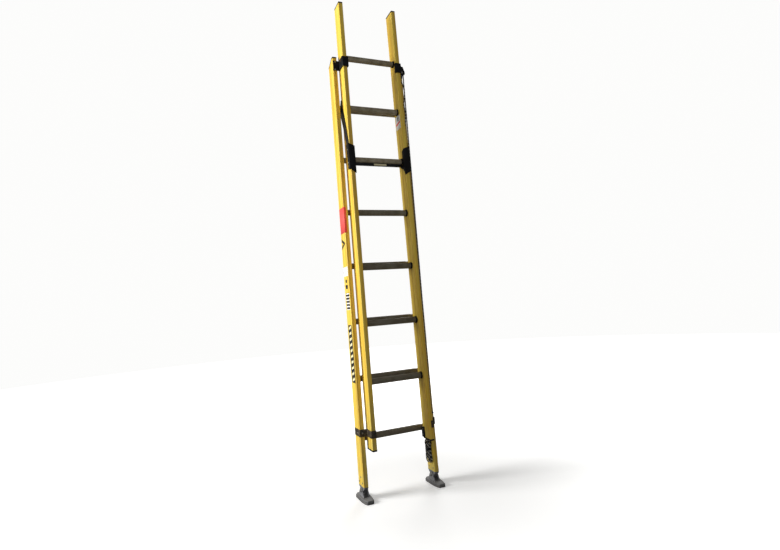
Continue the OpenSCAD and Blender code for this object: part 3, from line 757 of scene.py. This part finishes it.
class LADDER_OT_stage(bpy.types.Operator):
    """Camera, floor, backdrop and soft studio light"""

    bl_idname = "ladder.stage"
    bl_label = "Stage"

    def execute(self, context):
        finish = context.scene.ladder_finish
        self.camera(context)
        self.floor(context, finish)
        self.lights(context)
        context.scene.view_settings.view_transform = "Standard"
        return {"FINISHED"}

    def camera(self, context):
        data = bpy.data.cameras.new("camera")
        data.sensor_width = SENSOR
        data.lens = LENS
        data.shift_x, data.shift_y = SHIFT
        camera = bpy.data.objects.new("camera", data)
        context.scene.collection.objects.link(camera)
        turned = Matrix(CAMERA_AXES).transposed().to_4x4()
        camera.matrix_world = Matrix.Translation(CAMERA_PLACE) @ turned
        context.scene.camera = camera

    def floor(self, context, finish):
        sheet = bmesh.new()
        bmesh.ops.create_circle(sheet, cap_ends=True, segments=96, radius=STAGE_R)
        mesh = bpy.data.meshes.new("studio_floor")
        sheet.to_mesh(mesh)
        sheet.free()
        floor = bpy.data.objects.new("studio_floor", mesh)
        context.scene.collection.objects.link(floor)
        floor.visible_diffuse = False
        floor.visible_glossy = False
        wear(floor, floor_paint(finish))
        sheet = bmesh.new()
        ball = bmesh.ops.create_uvsphere(sheet, u_segments=64, v_segments=32, radius=STAGE_R)
        bmesh.ops.reverse_faces(sheet, faces=sheet.faces)
        for vert in ball["verts"]:
            vert.co.z = max(vert.co.z, BACKDROP_FOOT)
        mesh = bpy.data.meshes.new("studio_backdrop")
        sheet.to_mesh(mesh)
        sheet.free()
        backdrop = bpy.data.objects.new("studio_backdrop", mesh)
        context.scene.collection.objects.link(backdrop)
        wear(backdrop, backdrop_light(finish))
        # the backdrop is only looked at: the lamps and the world light the ladder
        backdrop.visible_diffuse = False
        backdrop.visible_glossy = False
        backdrop.visible_shadow = False

    def lights(self, context):
        world = bpy.data.worlds.new("studio_air")
        world.use_nodes = True
        air = world.node_tree.nodes["Background"]
        air.inputs["Color"].default_value = (1.0, 0.99, 0.97, 1)
        air.inputs["Strength"].default_value = AIR_LIGHT
        context.scene.world = world
        for name, place, aim, size, power in LAMPS:
            data = bpy.data.lights.new(name, "AREA")
            data.shape = "DISK"
            data.size = size
            data.energy = power
            lamp = bpy.data.objects.new(name, data)
            lamp.location = place
            lamp.rotation_euler = (Vector(aim) - Vector(place)).to_track_quat("-Z", "Y").to_euler()
            context.scene.collection.objects.link(lamp)


class LADDER_OT_ropes(bpy.types.Operator):
    """The rope: taut run, half turn in the pulley, loose side and hank"""

    bl_idname = "ladder.ropes"
    bl_label = "Ropes"

    def execute(self, context):
        sizes = context.scene.ladder_sizes
        low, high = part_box("pulley_wheel")
        axis = (low + high) / 2
        reach = ROPE_BEND_R
        taut_low, taut_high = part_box("haul_rope")
        self.free_side(axis, sizes)
        # taut run, from the pulley down to the bracket on the fly
        top = axis + Vector((reach, 0, 0))
        bottom = Vector((taut_low.x + sizes.rope / 2, taut_high.y - sizes.rope / 2, taut_low.z))
        path = [top.lerp(bottom, i / 60) for i in range(61)]
        taut = place_piece(
            "haul_rope_braided", rope_mesh("haul_rope_braided", path, sizes.rope), "base_section",
            "rope_fibre",
        )
        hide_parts("haul_rope")
        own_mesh(taut)
        path = [
            axis + Vector((math.cos(a), 0, math.sin(a))) * reach
            for a in (math.pi * i / 24 for i in range(25))
        ]
        bend = place_piece(
            "rope_half_turn", rope_mesh("rope_half_turn", path, sizes.rope), "base_section",
            "rope_fibre",
        )
        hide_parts("rope_over_pulley")
        return {"FINISHED"}

    def free_side(self, axis, sizes):
        lower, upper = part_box("rope_hank")
        middle = (lower + upper) / 2
        # it hangs in the gap between the right stiles, just inboard of the base stile
        gap_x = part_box("base_stile_right")[0].x - 2.5 * MM
        gap_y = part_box("fly_stile_right")[0].y + 30 * MM
        points = [axis + Vector(p) * MM for p in ROPE_START]
        points.append(Vector((axis.x - 7.5 * MM, gap_y, axis.z - 0.325)))
        points.append(Vector((gap_x, gap_y, axis.z - 0.370)))
        points += [Vector((gap_x, gap_y, z)) for z in ROPE_HEIGHTS]
        points += [
            Vector((gap_x + dx * MM, gap_y + dy * MM, z))
            for dx, dy, z in ROPE_TURN_IN
        ]
        # the hank: turns side by side, each down the rear run and up the front run
        end_r = (upper.y - lower.y) / 2 - sizes.rope / 2
        top_z = upper.z - (upper.y - lower.y) / 2
        foot_z = lower.z + (upper.y - lower.y) / 2
        first_x = upper.x - sizes.rope / 2
        pitch = (upper.x - lower.x - sizes.rope) / max(1, sizes.turns - 1)
        points.append(Vector((first_x - 0.2 * MM, middle.y - 15.5 * MM, top_z + 26 * MM)))
        points.append(Vector((first_x - 0.1 * MM, middle.y - 8.5 * MM, top_z + 18.5 * MM)))
        waist = end_r - 5.5 * MM
        for turn in range(sizes.turns):
            x = first_x - turn * pitch
            last = turn == sizes.turns - 1
            foot = foot_z + (0, 9, 3)[turn % 3] * MM
            top = top_z - (0, 3, 1)[turn % 3] * MM
            for a in (90, 67.5, 45, 22.5, 0):
                points.append(self.on_loop(x, middle.y, top, end_r, a))
            points.append(Vector((x - 1 * MM, middle.y + waist, self.tie_z(lower, upper))))
            for a in (0, -22.5, -45, -67.5, -90, -112.5, -135, -157.5, -180):
                points.append(self.on_loop(x, middle.y, foot, end_r, a))
            points.append(Vector((x, middle.y - waist, self.tie_z(lower, upper))))
            if last:
                points.append(Vector((x, middle.y - end_r, top + 2 * MM)))
            else:
                for a, part in ((180, 0.0), (157.5, 0.25), (135, 0.5), (112.5, 0.75)):
                    points.append(self.on_loop(x - part * pitch, middle.y, top, end_r, a))
        path = smooth_route(points, 6 * MM)
        free = place_piece(
            "free_rope_braided", rope_mesh("free_rope_braided", path, sizes.rope, 2),
            "base_section", "rope_fibre",
        )
        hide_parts("rope_tail", "rope_hank")
        tie = self.tie(lower, upper)

    @staticmethod
    def tie_z(lower, upper):
        return lower.z + (upper.z - lower.z) * TIE_SHARE

    @staticmethod
    def on_loop(x, y, z, radius, angle):
        a = math.radians(angle)
        return Vector((x, y + radius * math.cos(a), z + radius * math.sin(a)))

    def tie(self, lower, upper):
        """A flat strap round the middle of the hank."""
        thick, height = 1.0 * MM, 12 * MM
        middle = (lower + upper) / 2
        middle.z = self.tie_z(lower, upper)
        half = Vector((upper.x - lower.x, upper.y - lower.y - 11 * MM, 0)) / 2
        sheet = bmesh.new()
        corner = 4 * MM
        ring = []
        for sx, sy, first in ((1, 1, 0), (-1, 1, 90), (-1, -1, 180), (1, -1, 270)):
            for step in range(5):
                a = math.radians(first + step * 22.5)
                ring.append(
                    sheet.verts.new(
                        (middle.x + sx * (half.x - corner) + corner * math.cos(a),
                         middle.y + sy * (half.y - corner) + corner * math.sin(a),
                         middle.z - height / 2)
                    )
                )
        edges = [sheet.edges.new((a, b)) for a, b in zip(ring, ring[1:] + ring[:1])]
        pulled = bmesh.ops.extrude_edge_only(sheet, edges=edges)
        raised = [v for v in pulled["geom"] if isinstance(v, bmesh.types.BMVert)]
        bmesh.ops.translate(sheet, verts=raised, vec=(0, 0, height))
        bmesh.ops.recalc_face_normals(sheet, faces=sheet.faces)
        for face in sheet.faces:
            face.smooth = True
        mesh = bpy.data.meshes.new("hank_tie")
        sheet.to_mesh(mesh)
        sheet.free()
        piece = place_piece("hank_tie", mesh, "base_section", "moulded_black")
        wall = piece.modifiers.new("wall", "SOLIDIFY")
        wall.thickness = thick
        wall.offset = 1.0
        return piece


class LADDER_OT_stiles(bpy.types.Operator):
    """The four fibreglass stiles"""

    bl_idname = "ladder.stiles"
    bl_label = "Stiles"

    def execute(self, context):
        for side in SIDES:
            finish_node("base_stile_" + side, "fibreglass")
            finish_node("fly_stile_" + side, "fibreglass")
        return {"FINISHED"}


class LADDER_OT_rungs(bpy.types.Operator):
    """The ribbed rungs and their moulded collars"""

    bl_idname = "ladder.rungs"
    bl_label = "Rungs"

    def execute(self, context):
        for name in NODES:
            if name.startswith(("base_rung_", "fly_rung_")) and not name.endswith("collars"):
                finish_node(name, "rung_metal")
        self.collars("base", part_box("base_stile_right")[0].x)
        self.collars("fly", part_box("fly_stile_right")[0].x)
        return {"FINISHED"}

    def collars(self, section, face_x):
        """Moulded collars: a flange on the stile and a stepped sleeve along the rung."""
        sheet = bmesh.new()
        count = sum(name.startswith(section + "_rung_") for name in NODES) - 1
        for number in range(1, count + 1):
            low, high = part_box(f"{section}_rung_{number}")
            centre = (low + high) / 2
            for way in (-1, 1):
                turned = [
                    sheet.verts.new((way * (face_x - x * MM), centre.y, centre.z + radius * MM))
                    for x, radius in COLLAR_PROFILE
                ]
                edges = [
                    sheet.edges.new(pair) for pair in zip(turned, turned[1:] + turned[:1])
                ]
                bmesh.ops.spin(
                    sheet, geom=turned + edges, cent=(0, centre.y, centre.z), axis=(1, 0, 0),
                    dvec=(0, 0, 0), angle=math.tau, steps=COLLAR_STEPS, use_merge=True,
                    use_normal_flip=False, use_duplicate=False,
                )
        bmesh.ops.remove_doubles(sheet, verts=sheet.verts, dist=1e-6)
        bmesh.ops.recalc_face_normals(sheet, faces=sheet.faces)
        for face in sheet.faces:
            face.smooth = True
        for edge in sheet.edges:
            if edge.is_manifold and edge.calc_face_angle() > math.radians(40):
                edge.smooth = False
        node = section + "_rung_collars"
        mesh = bpy.data.meshes.new(node + "_moulded")
        sheet.to_mesh(mesh)
        sheet.free()
        piece = place_piece(node + "_moulded", mesh, body_of(node), "moulded_black")
        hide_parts(node)


class LADDER_OT_guides(bpy.types.Operator):
    """Caps, top guides, bottom guide straps and slide shoes"""

    bl_idname = "ladder.guides"
    bl_label = "Caps and guides"

    def execute(self, context):
        sizes = context.scene.ladder_sizes
        straps = strap_steel()
        for name in ("base_top_caps", "fly_top_caps", "fly_bottom_caps"):
            soften(name, "moulded_black", sizes.edge)
        for side in SIDES:
            soften("top_guide_" + side, "moulded_black", sizes.edge, segments=3)
            soften("fly_slide_shoe_" + side, "moulded_black", sizes.edge)
            strap = soften("bottom_guide_" + side, "black_steel", sizes.sheet_edge)
            wear(strap, straps)
        return {"FINISHED"}


class LADDER_OT_pulley(bpy.types.Operator):
    """Pulley housing, wheel, axle and the bracket that the rope pulls on"""

    bl_idname = "ladder.pulley"
    bl_label = "Pulley"

    def execute(self, context):
        sizes = context.scene.ladder_sizes
        soften("pulley_housing", "moulded_black", sizes.sheet_edge)
        finish_node("pulley_wheel", "pulley_nylon")
        soften("pulley_axle", "zinc_steel", 0.4 * MM)
        soften("rope_anchor", "black_steel", sizes.sheet_edge)
        return {"FINISHED"}


class LADDER_OT_lock_yoke(bpy.types.Operator):
    """The swinging rung lock: arms, corner sleeves and cross-bar"""

    bl_idname = "ladder.lock_yoke"
    bl_label = "Lock yoke"

    def execute(self, context):
        sizes = context.scene.ladder_sizes
        for side in SIDES:
            soften("yoke_arm_" + side, "black_steel", sizes.sheet_edge)
            soften("yoke_sleeve_" + side, "moulded_black", sizes.edge)
        soften("yoke_cross_bar", "black_steel", sizes.sheet_edge)
        return {"FINISHED"}


class LADDER_OT_feet(bpy.types.Operator):
    """Foot plugs, castings, bolts and rubber pads"""

    bl_idname = "ladder.feet"
    bl_label = "Feet"

    def execute(self, context):
        sizes = context.scene.ladder_sizes
        for side in SIDES:
            soften("foot_plug_" + side, "foot_metal", sizes.edge)
            soften("foot_shoe_" + side, "foot_metal", sizes.edge)
            soften("foot_pad_" + side, "pad_rubber", 0.7 * MM)
            soften("foot_bolt_" + side, "zinc_steel", 0.8 * MM)
        return {"FINISHED"}


class LADDER_OT_rivets(bpy.types.Operator):
    """Round-headed rivets"""

    bl_idname = "ladder.rivets"
    bl_label = "Rivets"

    def execute(self, context):
        sizes = context.scene.ladder_sizes
        for name in ("base_rivets", "fly_rivets", "yoke_rivets"):
            soften(name, "zinc_steel", sizes.head_edge, segments=3)
        return {"FINISHED"}


class LADDER_OT_labels(bpy.types.Operator):
    """Plain vinyl labels with generic marks"""

    bl_idname = "ladder.labels"
    bl_label = "Labels"

    def execute(self, context):
        finish = context.scene.ladder_finish
        black = colour("#17171A")
        white = tuple(finish.label_white)
        red = printed_vinyl("vinyl_red", tuple(finish.label_red))
        plain = printed_vinyl("vinyl_white", white, colour("#B9B6AE"), 9 * MM, 0.0, 0.22)
        blocks = printed_vinyl("vinyl_white_black_bars", white, black, 17 * MM, 0.0, 0.62)
        ink = printed_vinyl("vinyl_black", black)
        cream = printed_vinyl("vinyl_cream", tuple(finish.label_cream))
        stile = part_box("base_stile_left")
        side_x, front = stile[0].x, stile[0].y
        film = context.scene.ladder_sizes.label
        strip = printed_vinyl(
            "vinyl_black_white_bars", black, colour("#F0E6B4"), 30 * MM, 0.35, 0.42,
            (front + 19 * MM, front + 51 * MM),
        )
        self.wrapped("label_red", side_x, front, 1.382, 1.524, 71 * MM, 14 * MM, red)
        # each label: near and far edge in mm behind the stile's front, foot and head height in m
        for name, y0, y1, z0, z1, material in (
            ("label_plain", 3, 73, 1.147, 1.197, plain),
            ("label_dot", 30, 50, 1.112, 1.128, ink),
            ("label_mark", 24, 56, 1.078, 1.100, ink),
            ("label_blocks", 8, 60, 0.965, 1.056, blocks),
            ("label_strip", 9, 61, 0.582, 0.884, strip),
        ):
            self.panel(
                name, side_x, front + y0 * MM, front + y1 * MM, z0, z1, "base_section", material
            )
        self.chevron("label_chevron", side_x, front, ink)
        fly_x, fly_y = (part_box("fly_stile_right")[0][i] for i in (0, 1))
        self.panel("label_fly", fly_x, fly_y + 10 * MM, fly_y + 66 * MM, 1.985, 2.066,
                   "fly_section", plain)
        self.panel("label_fly_bar", fly_x - film, fly_y + 30 * MM, fly_y + 42 * MM, 2.032, 2.058,
                   "fly_section", ink)
        self.panel("label_fly_band", fly_x - film, fly_y + 14 * MM, fly_y + 62 * MM, 2.008, 2.020,
                   "fly_section", red, lean=10 * MM)
        wear(NODES["yoke_label"], cream)
        return {"FINISHED"}

    def finish_label(self, name, sheet, body, material):
        sizes = bpy.context.scene.ladder_sizes
        mesh = bpy.data.meshes.new(name)
        sheet.to_mesh(mesh)
        sheet.free()
        piece = place_piece(name, mesh, body, "label_cream", material)
        wall = piece.modifiers.new("film", "SOLIDIFY")
        wall.thickness = sizes.label
        wall.offset = 1.0
        return piece

    def panel(self, name, x, y0, y1, z0, z1, body, material, lean=0.0):
        """A label with rounded corners on a face that looks towards -X."""
        corner = 3 * MM
        sheet = bmesh.new()
        ring = []
        for cy, cz, first in (
            (y1 - corner, z1 - corner, 0), (y0 + corner, z1 - corner, 90),
            (y0 + corner, z0 + corner, 180), (y1 - corner, z0 + corner, 270),
        ):
            for step in range(4):
                a = math.radians(first + 30 * step)
                y = cy + corner * math.cos(a)
                z = cz + corner * math.sin(a) + lean * (y1 - y) / (y1 - y0)
                ring.append(sheet.verts.new((x, y, z)))
        face = sheet.faces.new(ring)
        face.normal_update()
        if face.normal.x > 0:
            face.normal_flip()
        return self.finish_label(name, sheet, body, material)

    def wrapped(self, name, face_x, front_y, z0, z1, back, across, material):
        """A label that starts on the outer face and runs round the stile's front corner."""
        bend = 2.5 * MM
        sheet = bmesh.new()
        profile = [(face_x, front_y + back), (face_x, front_y + back / 2)]
        for step in range(5):
            a = math.radians(180 + 22.5 * step)
            profile.append(
                (face_x + bend + bend * math.cos(a), front_y + bend + bend * math.sin(a))
            )
        profile.append((face_x + across, front_y))
        row = [sheet.verts.new((x, y, z0)) for x, y in profile]
        edges = [sheet.edges.new(pair) for pair in zip(row, row[1:])]
        pulled = bmesh.ops.extrude_edge_only(sheet, edges=edges)
        raised = [v for v in pulled["geom"] if isinstance(v, bmesh.types.BMVert)]
        bmesh.ops.translate(sheet, verts=raised, vec=(0, 0, z1 - z0))
        sheet.normal_update()
        for face in sheet.faces:
            if face.normal.x > 0.01 or face.normal.y > 0.01:
                face.normal_flip()
            face.smooth = True
        return self.finish_label(name, sheet, "base_section", material)

    def chevron(self, name, face_x, front_y, material):
        """A plain angle mark."""
        tip_y, back_y = front_y + 12 * MM, front_y + 66 * MM
        mid_z, rise, thick = 1.325, 30 * MM, 17 * MM
        outline = [
            (back_y, mid_z + rise), (back_y, mid_z + rise - thick), (tip_y + 26 * MM, mid_z),
            (back_y, mid_z - rise + thick), (back_y, mid_z - rise), (tip_y, mid_z),
        ]
        sheet = bmesh.new()
        face = sheet.faces.new([sheet.verts.new((face_x, y, z)) for y, z in outline])
        face.normal_update()
        if face.normal.x > 0:
            face.normal_flip()
        return self.finish_label(name, sheet, "base_section", material)


class LADDER_PT_panel(bpy.types.Panel):
    """Lists the ladder's pieces in the sidebar"""

    bl_idname = "LADDER_PT_panel"
    bl_label = "Ladder"
    bl_space_type = "VIEW_3D"
    bl_region_type = "UI"
    bl_category = "Ladder"

    def draw(self, context):
        for group in (context.scene.ladder_finish, context.scene.ladder_sizes):
            for name in group.bl_rna.properties.keys():
                if name not in ("rna_type", "name"):
                    self.layout.prop(group, name)
        for operator in OPERATORS:
            self.layout.operator(operator.bl_idname)


OPERATORS = (
    LADDER_OT_stage,
    LADDER_OT_ropes,
    LADDER_OT_stiles,
    LADDER_OT_rungs,
    LADDER_OT_guides,
    LADDER_OT_pulley,
    LADDER_OT_lock_yoke,
    LADDER_OT_feet,
    LADDER_OT_rivets,
    LADDER_OT_labels,
)
CLASSES = (LadderFinish, LadderSizes, *OPERATORS, LADDER_PT_panel)


def register():
    for item in CLASSES:
        bpy.utils.register_class(item)
    bpy.types.Scene.ladder_finish = PointerProperty(type=LadderFinish)
    bpy.types.Scene.ladder_sizes = PointerProperty(type=LadderSizes)


def unregister():
    del bpy.types.Scene.ladder_sizes
    del bpy.types.Scene.ladder_finish
    for item in reversed(CLASSES):
        bpy.utils.unregister_class(item)


def main():
    register()
    for operator in OPERATORS:
        group, name = operator.bl_idname.split(".")
        getattr(getattr(bpy.ops, group), name)()


if __name__ == "__main__":
    main()
